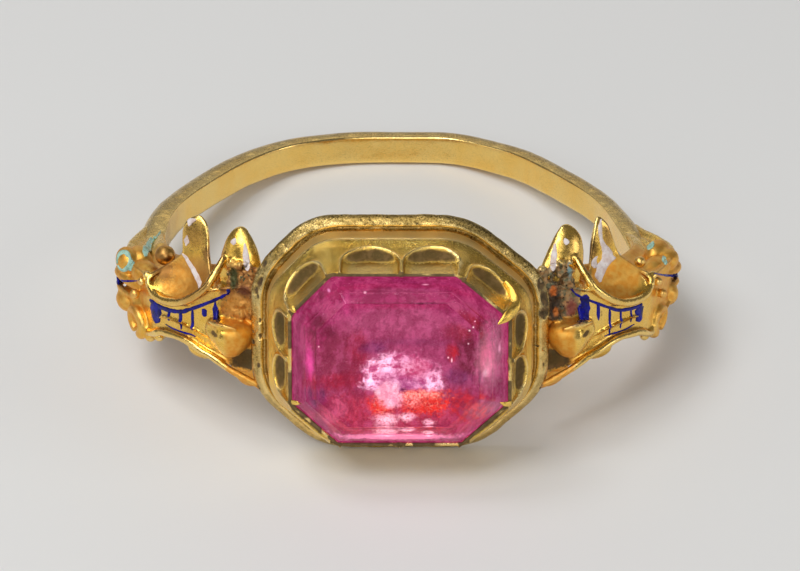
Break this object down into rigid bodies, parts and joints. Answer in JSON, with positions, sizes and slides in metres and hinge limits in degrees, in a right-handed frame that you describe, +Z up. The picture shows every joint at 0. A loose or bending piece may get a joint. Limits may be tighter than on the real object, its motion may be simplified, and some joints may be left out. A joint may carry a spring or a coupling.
{
  "type": "gemstone finger ring",
  "caption": "Gold finger ring with a step-cut pink stone in an arcaded box setting, leafy scrolled shoulders with enamel and a thin hoop, lying on its side.",
  "frame": {"origin": "on the surface that the ring lies on, under the middle of the ring's outline", "axes": "+Z up; -Y from the hoop towards the stone, so +Y towards the back of the hoop; +X to the right when the stone faces the viewer. The finger's axis leans 11.87 degrees from +Z towards +Y."},
  "size_m": [0.0219, 0.024, 0.0093],
  "materials": {
    "gold": "old yellow gold, soft polish, worn and nicked edges, dark residue in the hollows",
    "tourmaline": "polished pink tourmaline, clear, small bubbles and veils",
    "foil": "crinkled bright foil behind the stone",
    "blue_enamel": "glossy dark blue enamel, worn and chipped",
    "white_enamel": "glossy white enamel, worn and chipped",
    "turquoise_enamel": "pale turquoise enamel, worn and chipped"
  },
  "bodies": {
    "root": {"ring_body": "gold", "collet": "gold", "stone": "tourmaline", "foil": "foil", "blue_border_left": "blue_enamel", "blue_border_right": "blue_enamel", "blue_stripes_left": "blue_enamel", "blue_stripes_right": "blue_enamel", "groove_enamel_left": "blue_enamel", "groove_enamel_right": "blue_enamel", "rear_leaf_white_left": "white_enamel", "rear_leaf_white_right": "white_enamel", "front_leaf_white_left": "white_enamel", "front_leaf_white_right": "white_enamel", "boss_enamel_left": "turquoise_enamel", "boss_enamel_right": "turquoise_enamel", "tail_enamel_left": "turquoise_enamel", "tail_enamel_right": "turquoise_enamel"}
  },
  "joints": []
}
